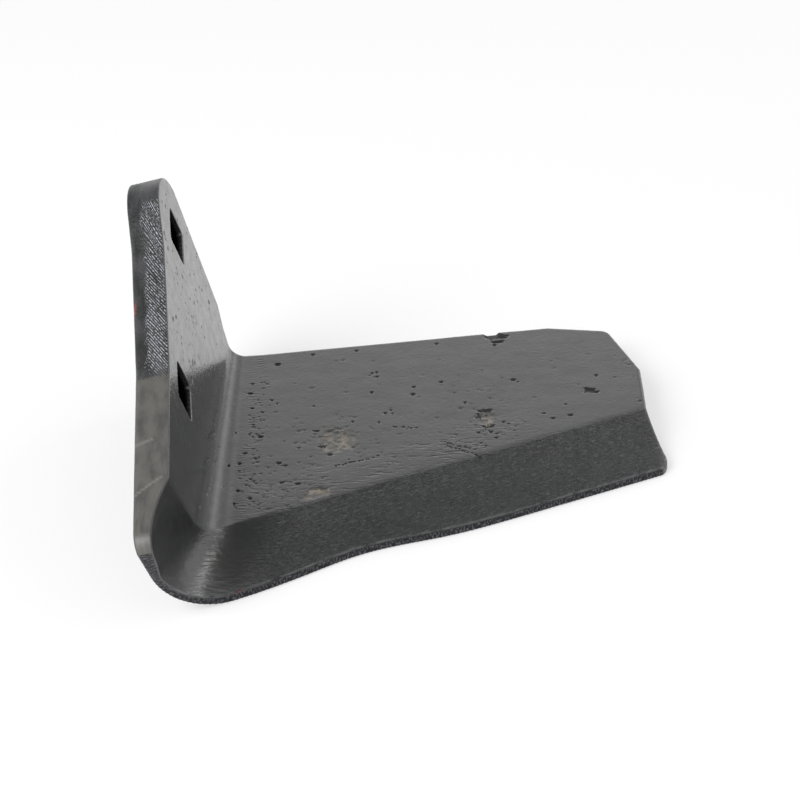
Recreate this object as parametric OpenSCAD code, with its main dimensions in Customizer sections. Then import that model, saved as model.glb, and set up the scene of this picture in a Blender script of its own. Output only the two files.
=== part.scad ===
// Bolt-on wing share for a cultivator sweep, one half of a pair.
// One plate, cut to outline, drawn out to a hollow cutting bevel along its front,
// and folded once: the upright flange bolts to the flank of the tine foot,
// and the wing runs out sideways under the soil.
// X runs outwards along the wing, Y runs back along the fold, Z is up.
// The part lies with the flat underside of its wing on Z = 0.

/* [Plate] */
// Thickness of the plate
plate_t = 10; // [6:0.5:14]

/* [Fold] */
// Angle that the flange is folded up from the wing
fold_angle = 80; // [50:1:100]
// Inside radius of the fold at the nose
fold_r = 10; // [5:0.5:16]
// Inside radius of the fold at its back end, where it is tighter
heel_r = 5.5; // [3:0.5:12]
// Back end of the fold, behind the upper bolt
heel_y = 24.7; // [18:0.1:30]

/* [Bolt flange] */
// Side of the square bolt holes
bolt_sq = 12.5; // [8:0.5:16]
// Distance between the two bolt holes
bolt_pitch = 60; // [40:1:70]
// Height of the upper bolt above the fold line, along the flange
bolt_height = 54; // [48:1:70]
// Angle of the bolt line to the fold line
bolt_line = 24.3; // [15:0.1:28]
// Radius of the round head about the upper bolt
head_r = 18; // [13:0.5:21]
// Distance from the bolt line to the front edge at the waist
waist_out = 14.9; // [12:0.1:20]
// Distance below the upper bolt where the waist starts
waist_top = 16; // [13:1:30]
// Distance below the upper bolt where the front edge starts to flare
waist_end = 63; // [45:1:68]
// Flare of the front edge below the waist
toe_flare = 7.3; // [0:0.1:12]
// Lean of the back edge from square to the bolt line
back_lean = 10.5; // [4:0.5:16]
// Height above the fold line where the back edge turns in to the fold
heel_s = 17.5; // [14:0.5:24]

/* [Wing] */
// Reach of the wing's end from the fold line
wing_reach = 127.4; // [100:0.1:170]
// Slant of the back edge from the fold out to the tail corner
back_slant = 3.9; // [0:0.1:8]
// Length of the short edge from the tail corner to the clip, along the wing
tail_l = 18.7; // [8:0.1:30]
// How far the short edge falls towards the front
tail_fall = 4.9; // [0:0.1:10]
// Length of the clipped corner, along the wing
clip_l = 8.2; // [4:0.1:16]
// How far the clipped corner runs towards the front
clip_fall = 27.7; // [15:0.1:34]
// How far the cutting corner stands out past the wing's end
tip_flare = 5.5; // [1:0.1:8]
// Radius where the wing's end turns out to the cutting corner
flare_r = 16; // [4:1:24]

/* [Cutting edge] */
// Place of the cutting edge at the root of the wing, ahead of the upper bolt
nose_y = -107; // [-120:0.1:-92]
// Sweep of the cutting edge along the wing
sweep = 24.4; // [15:0.1:30]
// How far the edge runs on forward round the fold
nose_turn = 12.4; // [6:0.1:18]
// Sweep of the edge on the flange
toe_sweep = 27; // [15:0.1:35]
// Length of the bevel, measured along the fold line
bevel_l = 25.7; // [15:0.1:32]
// Depth of the hollow in the bevel
hollow = 1.4; // [0.2:0.1:2]
// Thickness of the blunt cutting edge on the wing
edge_t = 2.75; // [1.5:0.05:4]
// Thickness of the edge at the toe of the flange
toe_t = 5; // [2:0.1:5.5]
// Shallow dip that hammering leaves in the edge
dip = 4.8; // [0:0.1:6]
// Place of the dip along the wing
dip_x = 44; // [35:1:80]
// Half length of the dip
dip_l = 20; // [8:1:24]

/* [Corners] */
// Radius of the corners in the outline
corner_r = 4; // [1:0.5:6]
// Radius at the toe of the flange
toe_r = 5.5; // [2:0.5:7]
// Radius at the cutting corner of the wing
tip_r = 8; // [3:0.5:10]

/* [Hidden] */
paint = [0.16, 0.17, 0.17];

// Length of the tangent from the fold line to where the fold starts and ends, at the nose.
tan_l = fold_r * tan(fold_angle / 2);
// Reach of the cutting forms past the plate's faces and ends.
spare = fold_r / 3;
// Place where the back edges of the wing and the flange leave the fold's end.
leave_l = tan_l + spare / 2;
// Middle of the wing's underside, which is the part's origin.
origin_x = (tan_l + wing_reach) / 2;
origin_y = (heel_y + edge_wing(origin_x)) / 2;

// Steps of the fold's section, of the bevel's hollow and of its way round the fold and along
// the wing, and of each round corner.
fold_steps = 36;
hollow_steps = 9;
bevel_fold_steps = 16;
bevel_wing_steps = 26;
corner_steps = 8;
head_steps = 24;

// Part of a corner's radius that the cutting edge trims off, so the two cross at a clear angle.
function trim(r) = r * (1 - cos(30));

// The fold tightens evenly from the nose to its back end: its inside radius and its tangent.
function fold_r_at(y) = fold_r + (heel_r - fold_r) * (y - nose_y) / (heel_y - nose_y);
function tan_at(y) = fold_r_at(y) * tan(fold_angle / 2);

// Cutting edge and bevel line, as places along Y.
function dip_at(x) = dip * exp(-pow((x - dip_x) / dip_l, 2));
function straight_edge(x) = nose_y + (x - tan_l) * tan(sweep);
function edge_wing(x) = straight_edge(x) + dip_at(x);
function edge_fold(p) = edge_wing(tan_l) - nose_turn * p / fold_angle;
function back_edge(x) = heel_y + (x - leave_l) * tan(back_slant);
function edge_flange(s) = edge_fold(fold_angle) - (s - tan_l) * tan(toe_sweep);

// Plane geometry.
function unit(v) = v / norm(v);
function cross2(a, b) = a[0] * b[1] - a[1] * b[0];
function turn(a, b) = atan2(cross2(a, b), a * b);
function arc(c, from, sweep_a, steps) =
    let (r = norm(from - c), a = atan2(from[1] - c[1], from[0] - c[0]))
    [for (i = [0 : steps]) c + r * [cos(a + sweep_a * i / steps), sin(a + sweep_a * i / steps)]];
function round_corner(p, q, n, r) =
    let (u = unit(p - q), v = unit(n - q))
    let (half = acos(u * v) / 2, c = q + unit(u + v) * r / sin(half))
    let (from = q + u * r / tan(half), to = q + v * r / tan(half))
    arc(c, from, turn(from - c, to - c), corner_steps);
function flat(p) = [p[0], p[1]];
// Closed outline of [x, y, radius] corners, with radius 0 for a sharp one.
function rounded(pts) = [
    for (i = [0 : len(pts) - 1])
        let (n = len(pts), p = flat(pts[(i + n - 1) % n]), q = flat(pts[i]), r = flat(pts[(i + 1) % n]))
        each pts[i][2] > 0 ? round_corner(p, q, r, pts[i][2]) : [q]
];

// A point of the bolt frame, along the bolt line and out to the front, on the flange:
// along the fold, and up from the fold line.
function on_flange(a, f) = [
    a * cos(bolt_line) - f * sin(bolt_line),
    bolt_height + a * sin(bolt_line) + f * cos(bolt_line)
];
waist_foot = on_flange(-waist_end, waist_out);
toe_dir = on_flange(-cos(toe_flare), sin(toe_flare)) - on_flange(0, 0);
// Toe of the flange, where its front edge runs out over the cutting edge.
toe_run = (edge_flange(waist_foot[1]) - trim(toe_r) - waist_foot[0]) / (toe_dir[0] + toe_dir[1] * tan(toe_sweep));
toe = waist_foot + toe_run * toe_dir;
// Angle on the head where the waist's edge leaves it.
waist_at = atan2(waist_out, -waist_top) - acos(head_r / norm([waist_out, waist_top]));
back_dir = on_flange(-sin(back_lean), -cos(back_lean)) - on_flange(0, 0);
back_top = on_flange(head_r * cos(back_lean), -head_r * sin(back_lean));
heel = back_top + back_dir * (heel_s - back_top[1]) / back_dir[1];

function head_arc() = arc(on_flange(0, 0), back_top, waist_at + back_lean, head_steps);
function with_r(pts, r) = [for (p = pts) [p[0], p[1], r]];

// Flange outline, along the fold and up from the fold line. Its foot runs on into the fold.
module flange_outline() {
    foot_s = tan_l - spare;
    foot = heel + ([heel_y, leave_l] - heel) * (heel_s - foot_s) / (heel_s - leave_l);
    polygon(rounded(concat(
        [[foot[0], foot_s, 0], [heel[0], heel[1], corner_r]],
        with_r(head_arc(), 0),
        with_r([on_flange(-waist_top, waist_out), waist_foot], head_r),
        [[toe[0], toe[1], toe_r], [edge_flange(foot_s) - trim(toe_r), foot_s, 0]]
    )));
}

// Wing outline in plan. Its root runs on into the fold.
module wing_outline() {
    root_x = tan_l - spare;
    clip_x = wing_reach - clip_l;
    tail_x = clip_x - tail_l;
    tail_y = back_edge(tail_x);
    clip_y = tail_y - tail_fall;
    tip_x = wing_reach + tip_flare;
    polygon(rounded([
        [root_x, back_edge(root_x), 0],
        [tail_x, tail_y, corner_r],
        [clip_x, clip_y, corner_r],
        [wing_reach, clip_y - clip_fall, corner_r],
        [wing_reach, straight_edge(wing_reach) + bevel_l, flare_r],
        [tip_x, straight_edge(tip_x) - trim(tip_r), tip_r],
        [root_x, straight_edge(root_x) - trim(tip_r), 0]
    ]));
}

// Places on the folded plate, from a place along the fold and a height above its outer face.
function at_wing(x, y, h) = [x, y, h];
function at_fold(p, y, h) =
    let (r = fold_r_at(y) + plate_t - h)
    [tan_at(y) - r * sin(p), y, plate_t + fold_r_at(y) - r * cos(p)];
function at_flange(s, y, h) =
    [(h - plate_t) * sin(fold_angle) - s * cos(fold_angle), y,
     plate_t + s * sin(fold_angle) + (h - plate_t) * cos(fold_angle)];

// Section of what is cut away in front: over the hollow bevel, and ahead of the blunt edge.
// The bevel is a shallow parabola, and it starts a step and a half above the plate's face.
front_y = edge_flange(toe[1] + bevel_l) - bevel_l;
function bevel_h(k, e) = plate_t - (plate_t - e) * k - 4 * hollow * k * (1 - k);
function cut_section(bevel_y, edge_y, e) =
    let (steps = [for (i = [hollow_steps : -1 : 0]) (i - 1.5) / (hollow_steps - 1.5)])
    let (top = bevel_h(steps[hollow_steps], e))
    concat(
        [[front_y, top], [front_y, -spare], [edge_y, -spare]],
        [for (k = steps) [bevel_y + (edge_y - bevel_y) * k, bevel_h(k, e)]]
    );

// The sections, from the flange round the fold and out past the end of the wing.
function wing_cut(x) =
    [for (q = cut_section(straight_edge(x) + bevel_l, edge_wing(x), edge_t)) at_wing(x, q[0], q[1])];
function fold_cut(p) =
    [for (q = cut_section(edge_fold(p) - dip_at(tan_l) + bevel_l, edge_fold(p), edge_t))
        at_fold(p, q[0], q[1])];
function flange_cut(s, e) =
    [for (q = cut_section(edge_flange(s) - dip_at(tan_l) + bevel_l, edge_flange(s), e))
        at_flange(s, q[0], q[1])];
wing_end = wing_reach + tip_flare + spare;
bevel_sections = concat(
    [flange_cut(toe[1] + bevel_l, toe_t), flange_cut(toe[1], toe_t)],
    [for (i = [bevel_fold_steps - 0.5 : -1 : 0]) fold_cut(fold_angle * i / bevel_fold_steps)],
    [for (i = [0.5 : bevel_wing_steps]) wing_cut(tan_l + (wing_end - tan_l) * i / (bevel_wing_steps - 0.5))]
);

// Solid through a row of like sections.
module loft(sections) {
    n = len(sections[0]);
    m = len(sections);
    points = [for (s = sections) each s];
    sides = [
        for (i = [0 : m - 2], j = [0 : n - 1])
            let (a = i * n + j, b = i * n + (j + 1) % n)
            each [[a, a + n, b], [b, a + n, b + n]]
    ];
    first = [for (j = [0 : n - 1]) j];
    last = [for (j = [n - 1 : -1 : 0]) (m - 1) * n + (j + 1) % n];
    polyhedron(points, concat(sides, [first, last]));
}

// The flange's plane: along the fold, up from the fold line, and inwards from its inner face.
module flange_place()
    translate([0, 0, plate_t])
        rotate([0, fold_angle - 90, 0])
            rotate([90, 0, 90])
                children();

// Section of the folded plate at a place along the fold, with leaves longer than any outline.
function fold_arc(y, h) = [for (i = [0 : fold_steps]) at_fold(fold_angle * i / fold_steps, y, h)];
function reversed(pts) = [for (i = [len(pts) - 1 : -1 : 0]) pts[i]];
function plate_section(y) =
    let (far_x = 2 * wing_reach, far_s = 3 * bolt_height)
    concat(
        [at_wing(far_x, y, 0)],
        fold_arc(y, 0),
        [for (h = [0, plate_t]) at_flange(far_s, y, h)],
        reversed(fold_arc(y, plate_t)),
        [at_wing(far_x, y, plate_t)]
    );

module folded_plate()
    loft([plate_section(front_y + spare), plate_section(heel_y + bevel_l)]);

// What the outlines leave of the folded plate: the flange, the fold and the wing.
module flange_leaf()
    flange_place()
        translate([0, 0, -plate_t - spare])
            linear_extrude(plate_t + 2 * spare)
                flange_outline();

module fold_leaf() {
    low = [-fold_r - 2 * plate_t, front_y, -2 * spare];
    high = [tan_l + spare, heel_y, plate_t + fold_r * (1 - cos(fold_angle)) + spare];
    translate(low)
        cube(high - low);
}

module wing_leaf()
    translate([0, 0, -spare])
        linear_extrude(plate_t + 2 * spare)
            wing_outline();

module bolt_hole(along)
    flange_place()
        translate(on_flange(along, 0))
            rotate(bolt_line)
                cube([bolt_sq, bolt_sq, 4 * plate_t], center = true);

module wing_share()
    color(paint)
        translate([-origin_x, -origin_y, 0])
            difference() {
                intersection() {
                    folded_plate();
                    union() {
                        flange_leaf();
                        fold_leaf();
                        wing_leaf();
                    }
                }
                loft(bevel_sections);
                bolt_hole(0);
                bolt_hole(-bolt_pitch);
            }

wing_share();
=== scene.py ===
# %% [markdown]
# # Wing share of a cultivator sweep
# The part is one 10 mm plate: cut to outline, drawn out to a hollow bevel along its front, folded
# once and dipped in thick black enamel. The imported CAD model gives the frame, the body and the box.
# Blender adds what a plate shop leaves behind: scale pits, cutting marks, hammer ridges and wear.

# %% Load the frame
import math

import bpy
import numpy as np
from mathutils import Matrix, Vector, geometry, kdtree, noise
from mathutils.bvhtree import BVHTree


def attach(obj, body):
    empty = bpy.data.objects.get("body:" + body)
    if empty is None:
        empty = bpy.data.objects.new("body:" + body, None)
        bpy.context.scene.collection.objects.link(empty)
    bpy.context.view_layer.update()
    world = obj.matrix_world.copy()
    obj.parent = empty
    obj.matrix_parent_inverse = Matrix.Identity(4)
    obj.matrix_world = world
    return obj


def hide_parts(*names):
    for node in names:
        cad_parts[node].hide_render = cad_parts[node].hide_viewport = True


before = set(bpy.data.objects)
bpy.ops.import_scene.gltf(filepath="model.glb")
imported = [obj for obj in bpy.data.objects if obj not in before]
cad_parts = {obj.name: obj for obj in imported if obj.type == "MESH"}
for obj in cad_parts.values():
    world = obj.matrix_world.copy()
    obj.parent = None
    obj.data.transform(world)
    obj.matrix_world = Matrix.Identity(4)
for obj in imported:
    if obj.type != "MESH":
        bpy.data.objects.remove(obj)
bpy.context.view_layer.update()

# %% [markdown]
# ## The plate's own measures
# A skin with pits and cutting marks needs the same outline and fold as the solid that it stands for.
# It could be cut from the solid's mesh, but that mesh has long thin triangles, which hold no pits.
# So the skin is drawn again from the plate's driving sizes, and a later cell measures it on the solid.
# All lengths are millimetres until the mesh is placed, and angles are written in degrees.

# %% Sizes of the plate
MM = 0.001
plate_t = 10
fold_angle = math.radians(80)
fold_r, heel_r = 10, 5.5
heel_y = 24.7
tan_l = fold_r * math.tan(fold_angle / 2)
fold_l = (fold_r + plate_t / 2) * fold_angle
leave_l = tan_l + fold_r / 6

nose_y, sweep, nose_turn, toe_sweep = -107, 24.4, 12.4, 27
bevel_l, hollow, edge_t, toe_t = 25.7, 1.4, 2.75, 5
dip, dip_x, dip_l = 4.8, 44, 20
wing_reach, tip_flare, flare_r = 127.4, 5.5, 16
corner_r, toe_r, tip_r = 4, 5.5, 8
print("Length of the fold along the middle of the plate:", round(fold_l, 2))

# %% [markdown]
# ## Unfolding the plate
# The real part starts as a flat blank, so the skin is drawn on a flat sheet too. On the sheet, p runs
# from the flange across the fold to the wing, y runs back along the fold, and h is the height above
# the underside. One function then folds any point of the sheet into place. The fold tightens towards
# the back, so a little of its width on the sheet lies flat there, on the flange and on the wing.

# %% Fold a point of the sheet
def p_of_wing(x):
    """Place on the sheet of a point x out from the fold line along the wing."""
    return fold_l + x - tan_l


def p_of_flange(s):
    """Place on the sheet of a point s up from the fold line along the flange."""
    return tan_l - s


def tangent(degrees):
    return math.tan(math.radians(degrees))


def edge_dip(x):
    return dip * np.exp(-((x - dip_x) / dip_l) ** 2)


origin_x = (tan_l + wing_reach) / 2
straight_mid = nose_y + (origin_x - tan_l) * tangent(sweep)
origin_y = (heel_y + straight_mid + edge_dip(origin_x)) / 2


def fold_radius(y):
    """Inside radius of the fold, which tightens evenly from the nose to the heel."""
    return fold_r + (heel_r - fold_r) * (y - nose_y) / (heel_y - nose_y)


def folded(p, y, h):
    """Places in the part's frame, in metres, of points of the sheet."""
    radius = fold_radius(y)
    tangent_l = radius * math.tan(fold_angle / 2)
    flat_l = tan_l - tangent_l
    arc_l = (radius + plate_t / 2) * fold_angle
    across = np.clip(p / fold_l, 0, 1) * (arc_l + 2 * flat_l)
    turn = fold_angle * (1 - np.clip((across - flat_l) / arc_l, 0, 1))
    up_flange = np.maximum(flat_l - across, 0) + np.maximum(-p, 0)
    out_wing = np.maximum(across - flat_l - arc_l, 0) + np.maximum(p - fold_l, 0)
    r = radius + plate_t - h
    x = tangent_l - r * np.sin(turn) - up_flange * math.cos(fold_angle) + out_wing
    z = plate_t + radius - r * np.cos(turn) + up_flange * math.sin(fold_angle)
    return np.stack([x - origin_x, y - origin_y, z], 1) * MM


print("Origin from the fold line:", round(origin_x, 2), "and from the upper bolt:", round(origin_y, 2))

# %% [markdown]
# ## Cutting edge and bevel
# The front is drawn out under a hammer to a blunt edge, with a hollow bevel behind it. Two lines on
# the sheet hold it: the edge itself, with its shallow dip, and the line where the bevel starts. The
# height of the face between them is a shallow parabola, and its start is eased, as hammered steel is.

# %% Lines and height of the bevel
nose_root = nose_y + edge_dip(tan_l)
crease_ease = 0.016


def straight_edge(p):
    """The cutting edge without its dip, from the flange round the fold and out along the wing."""
    on_fold = -nose_turn * (1 - np.clip(p / fold_l, 0, 1))
    on_wing = np.maximum(p - fold_l, 0) * tangent(sweep)
    on_flange_run = np.minimum(p, 0) * tangent(toe_sweep)
    return nose_y + on_fold + on_wing + on_flange_run


def cutting_edge(p):
    x = np.maximum(p - fold_l, 0) + tan_l
    return straight_edge(p) + edge_dip(x)


def bevel_share(p, y):
    """0 at the line where the bevel starts, 1 at the cutting edge, negative on the plain face."""
    start = straight_edge(p) + bevel_l
    return (start - y) / (start - cutting_edge(p))


def blunt_height(p, toe_p):
    return edge_t + (toe_t - edge_t) * np.clip(p / toe_p, 0, 1)


def bevel_depth(p, y, toe_p):
    k = bevel_share(p, y)
    k = 0.5 * (k + np.sqrt(k * k + crease_ease ** 2))
    k = np.minimum(k, 1)
    return (plate_t - blunt_height(p, toe_p)) * k + 4 * hollow * k * (1 - k)


print("Nose of the edge at the fold, ahead of the upper bolt:", round(-nose_root, 1))

# %% [markdown]
# ## Outline of the blank
# The outline is a run of straight cuts with round corners. Each corner is given once with its radius,
# and a helper turns the list into a fine closed line. The cutting edge then trims its front.

# %% Corners of the outline
bolt_line, bolt_height, bolt_pitch, bolt_sq = math.radians(24.3), 54, 60, 12.5
head_r, waist_out, waist_top, waist_end = 18, 14.9, 16, 63
toe_flare, back_lean, heel_s = math.radians(7.3), math.radians(10.5), 17.5
back_slant, tail_l, tail_fall, clip_l, clip_fall = 3.9, 18.7, 4.9, 8.2, 27.7
trim_turn, head_steps = math.radians(30), 40


def trim(radius):
    """How far a corner stands out over the cutting edge, which then trims it."""
    return radius * (1 - math.cos(trim_turn))


def on_flange(along, out):
    """Sheet place of a point along the bolt line, back being positive, and out to the front of it."""
    y = along * math.cos(bolt_line) - out * math.sin(bolt_line)
    s = bolt_height + along * math.sin(bolt_line) + out * math.cos(bolt_line)
    return np.array([p_of_flange(s), y])


def meet(start, direction, offset):
    """Where a line from start meets the cutting edge of the flange, pushed forward by offset."""
    gap = start[1] - (straight_edge(min(start[0], 0)) + edge_dip(tan_l) - offset)
    return start + direction * gap / (direction[0] * tangent(toe_sweep) - direction[1])


waist_foot = on_flange(-waist_end, waist_out)
flare_dir = on_flange(-math.cos(toe_flare), math.sin(toe_flare)) - on_flange(0, 0)
toe = meet(waist_foot, flare_dir, trim(toe_r))
back_dir = on_flange(-math.sin(back_lean), -math.cos(back_lean)) - on_flange(0, 0)
back_top = on_flange(head_r * math.cos(back_lean), -head_r * math.sin(back_lean))
heel = back_top + back_dir * (p_of_flange(heel_s) - back_top[0]) / back_dir[0]
waist_at = math.atan2(waist_out, -waist_top) - math.acos(head_r / math.hypot(waist_out, waist_top))
head = [on_flange(head_r * math.cos(a), head_r * math.sin(a))
        for a in np.linspace(-back_lean, waist_at, head_steps)]

clip_x = wing_reach - clip_l
tail_x = clip_x - tail_l
tail_y = heel_y + (tail_x - leave_l) * tangent(back_slant)
tip_p = p_of_wing(wing_reach + tip_flare)
end_p = p_of_wing(wing_reach)
heel_round = 3
corners = [
    (tip_p, straight_edge(tip_p) - trim(tip_r), tip_r),
    (end_p, straight_edge(end_p) + bevel_l, flare_r),
    (end_p, tail_y - tail_fall - clip_fall, corner_r),
    (p_of_wing(clip_x), tail_y - tail_fall, corner_r),
    (p_of_wing(tail_x), tail_y, corner_r),
    (p_of_wing(leave_l), heel_y, 0),
    (p_of_flange(leave_l), heel_y, heel_round),
    (*heel, corner_r),
    *[(*q, 0) for q in head],
    (*on_flange(-waist_top, waist_out), head_r),
    (*waist_foot, head_r),
    (*toe, toe_r),
    (0, straight_edge(0) + edge_dip(tan_l) - trim(toe_r), 0),
    (fold_l, straight_edge(fold_l) + edge_dip(tan_l) - trim(tip_r), 0),
]
print("Corners in the outline:", len(corners), "with the toe at", np.round(toe, 1))

# %% Round the corners and trim the front
def round_corner(before, here, after, radius, steps=14):
    u = (before - here) / np.linalg.norm(before - here)
    v = (after - here) / np.linalg.norm(after - here)
    half = math.acos(np.clip(u @ v, -1, 1)) / 2
    centre = here + (u + v) / np.linalg.norm(u + v) * radius / math.sin(half)
    first = here + u * radius / math.tan(half) - centre
    last = here + v * radius / math.tan(half) - centre
    swing = math.atan2(first[0] * last[1] - first[1] * last[0], first @ last)
    turns = np.linspace(0, swing, steps)
    return [centre + Matrix.Rotation(t, 2) @ Vector(first) for t in turns]


def closed_line(points):
    line = []
    spots = [np.array(c[:2]) for c in points]
    for i, corner in enumerate(points):
        if corner[2] == 0:
            line.append(spots[i])
        else:
            line += round_corner(spots[i - 1], spots[i], spots[(i + 1) % len(spots)], corner[2])
    return np.array([tuple(q) for q in line])


def walk(line, stops):
    """Points of a closed line at the given distances along it, and the line's length."""
    ring = np.vstack([line, line[:1]])
    run = np.concatenate([[0], np.cumsum(np.linalg.norm(np.diff(ring, axis=0), axis=1))])
    return np.stack([np.interp(stops % run[-1], run, ring[:, i]) for i in (0, 1)], 1), run[-1]


fine_step = 0.08
rough_line = closed_line(corners)
_, around = walk(rough_line, np.zeros(1))
fine_line, _ = walk(rough_line, np.arange(0, around, fine_step))
fine_line[:, 1] = np.maximum(fine_line[:, 1], cutting_edge(fine_line[:, 0]))
toe_p = toe[0]
print("Length of the outline:", round(around, 1), "in", len(fine_line), "fine steps")

# %% [markdown]
# ## The rim of the mesh
# A torch cut the long front edge of the flange, and its drag lines lie about a millimetre apart, so
# the rim needs close steps there. Elsewhere longer steps will do. The rim also keeps what it is at
# each step: torch cut, cutting edge or plain sheared edge.

# %% Steps along the rim
torch_step, blunt_step, plain_step = 0.24, 0.45, 0.7
edge_touch = 0.02


def bolt_frame(p, y):
    """Distances along the bolt line and out to the front of it."""
    s = tan_l - p - bolt_height
    cosine, sine = math.cos(bolt_line), math.sin(bolt_line)
    return y * cosine + s * sine, s * cosine - y * sine


def is_blunt(p, y):
    return np.abs(y - cutting_edge(p)) < edge_touch


def is_torch_cut(p, y):
    return (p < 0) & (bolt_frame(p, y)[1] > 0) & ~is_blunt(p, y)


def side_of(ring):
    """Directions to the right of a closed line, square to it."""
    run = np.roll(ring, -1, 0) - np.roll(ring, 1, 0)
    run /= np.linalg.norm(run, axis=1)[:, None]
    return np.stack([run[:, 1], -run[:, 0]], 1)


steps_wanted = np.where(is_torch_cut(*fine_line.T), torch_step, plain_step)
steps_wanted = np.where(is_blunt(*fine_line.T), blunt_step, steps_wanted)
fine_run = np.concatenate([[0], np.cumsum(np.linalg.norm(np.diff(fine_line, axis=0), axis=1))])
count_at = np.concatenate([[0], np.cumsum(np.diff(fine_run) / steps_wanted[1:])])
rim_count = int(count_at[-1])
rim_run = np.interp(np.arange(rim_count) * count_at[-1] / rim_count, count_at, fine_run)
rim, _ = walk(fine_line, rim_run)
rim_out = side_of(rim)
rim_torch = is_torch_cut(*rim.T)
rim_blunt = is_blunt(*rim.T)
print("Rim points:", rim_count, "of which torch cut:", rim_torch.sum(), "and blunt:", rim_blunt.sum())

# %% Square bolt holes
hole_round, hole_step = 1.1, 0.6
half = bolt_sq / 2


def hole_line(centre):
    square = [(half, -half), (half, half), (-half, half), (-half, -half)]
    ring = closed_line([(*on_flange(centre + a, f), hole_round) for a, f in square])
    _, length = walk(ring, np.zeros(1))
    return walk(ring, np.arange(0, length - hole_step / 2, hole_step))[0]


hole_centres = (0, -bolt_pitch)
holes = [hole_line(c) for c in hole_centres]
print("Points round each bolt hole:", [len(h) for h in holes])

# %% [markdown]
# ## Marks in the face
# Hot-rolled plate carries scale. Where flakes of it fell off before painting, they left pits, and the
# enamel kept every one of them. The larger ones are placed where this part has them, and
# seeded draws fill in the small ones. Wear, hammer ridges and wrinkles beside the fold come after.

# %% Pits and flakes listed one by one
# Each is: out along the wing, back along the fold, half its width, half its length, depth.
wing_pits = [
    (14.9, 16.5, 1.5, 1.3, 0.45), (25.8, 21.7, 1.0, 1.2, 0.25), (33.6, 16.3, 0.6, 0.7, 0.2),
    (35.6, 16.6, 0.7, 0.7, 0.2), (39.6, 22.6, 1.0, 1.0, 0.25), (65, 24.1, 0.8, 1.0, 0.3),
    (44.9, 6.1, 0.6, 0.8, 0.25), (46.3, 6.6, 0.6, 1.2, 0.3), (46.5, 3.7, 0.9, 0.8, 0.25),
    (45, -6.8, 0.8, 1.2, 0.4), (57.9, -4.8, 0.8, 0.8, 0.4), (57.7, -9.6, 1.1, 1.0, 0.45),
    (66.3, -2.6, 1.0, 0.8, 0.35), (49.4, -20.9, 0.7, 0.9, 0.4), (51.1, -19.2, 0.6, 0.8, 0.25),
    (51.6, -21.5, 0.5, 0.7, 0.25), (47.6, -26.6, 0.5, 1.1, 0.3), (39.7, -25, 0.6, 0.9, 0.25),
    (40.3, -40.9, 0.9, 0.6, 0.3), (16.2, -10.4, 0.4, 1.1, 0.25), (27.5, -13.4, 0.6, 0.7, 0.25),
    (88.4, -4, 1.2, 0.9, 0.5), (89.8, -5.6, 0.5, 0.6, 0.25), (73.5, -17.2, 0.7, 0.9, 0.3),
    (80.9, -15.4, 0.5, 0.8, 0.2), (84.8, -31, 0.7, 0.8, 0.35), (80.9, -36.7, 0.9, 0.8, 0.4),
    (77.3, -36.7, 0.8, 0.7, 0.35), (82.4, -40.6, 0.9, 0.6, 0.3), (96.9, -27.2, 0.9, 0.6, 0.25),
    (99.5, -30.7, 1.1, 0.6, 0.3), (94.5, -16.8, 0.6, 0.6, 0.2), (113.8, -4.6, 0.8, 0.9, 0.45),
    (104.7, -29.4, 1.2, 0.9, 0.4), (103.7, -22.4, 0.6, 0.6, 0.25), (119.5, -7, 0.8, 0.5, 0.2),
    (126, -23.1, 0.7, 0.7, 0.3), (12.2, -31.1, 1.2, 0.9, 0.35), (18.6, -48, 1.0, 0.9, 0.45),
    (20.7, -49.7, 0.8, 0.7, 0.3), (24.8, -61, 1.2, 0.8, 0.4), (11.3, -67.8, 0.7, 0.9, 0.35),
    (19.9, -59.7, 0.7, 0.7, 0.3), (33.5, -44.6, 1.3, 1.0, 0.35), (31.2, -39.4, 1.5, 0.8, 0.45),
    (7.4, -2.3, 1.2, 0.7, 0.35), (7.7, 4.1, 0.8, 0.6, 0.25), (8.6, -12.4, 0.8, 0.6, 0.3),
    (8.2, -40.7, 0.9, 0.7, 0.35), (6.8, -46.8, 0.8, 1.0, 0.35), (29, -29.5, 1.4, 0.7, 0.3),
]
# Flakes are pits with a ragged outline: one broke through the trailing edge, one lies near the end.
flakes = [
    (82.6, 27.6, 2.2, 3.6, 0.75), (85.2, 26.2, 2.4, 1.6, 0.65), (84.6, 22.6, 2.2, 0.9, 0.5),
    (83.3, 20.4, 0.8, 0.7, 0.3), (111, -14.2, 2.0, 1.5, 0.5), (112.6, -15.4, 1.2, 0.8, 0.35),
    (77.3, -26.6, 1.1, 1.7, 0.55), (79.4, -23.2, 2.4, 1.0, 0.4), (80.2, -33, 1.9, 0.9, 0.5),
]
# Worn patches are bare to the brown metal and a little hollow.
worn_patches = [
    (34.6, -36, 4.3, 7.6, 0.22), (38.6, -36.6, 2.4, 5.5, 0.16), (80.1, -28.4, 2.2, 4.0, 0.26),
    (31.2, -66.6, 3.4, 3.0, 0.2), (29.3, -69, 2.4, 1.8, 0.15),
]
# The same on the flange, with the height above the fold line first.
flange_pits = [
    (62, -15.1, 0.9, 1.6, 0.2), (60.4, -16, 0.7, 1.2, 0.2), (57.8, -17, 0.8, 1.4, 0.2),
    (30.5, 10.9, 0.6, 1.2, 0.2), (24, 15.4, 0.9, 1.3, 0.3), (45.5, -39.9, 0.7, 1.5, 0.25),
    (43.9, -35.4, 0.7, 1.4, 0.25), (26, -30.5, 0.7, 1.5, 0.2), (25.9, -41.3, 0.7, 1.4, 0.2),
    (35, 2, 0.4, 0.9, 0.15), (38, 7, 0.5, 1.0, 0.15), (50, -14, 0.4, 1.0, 0.12),
]
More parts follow.
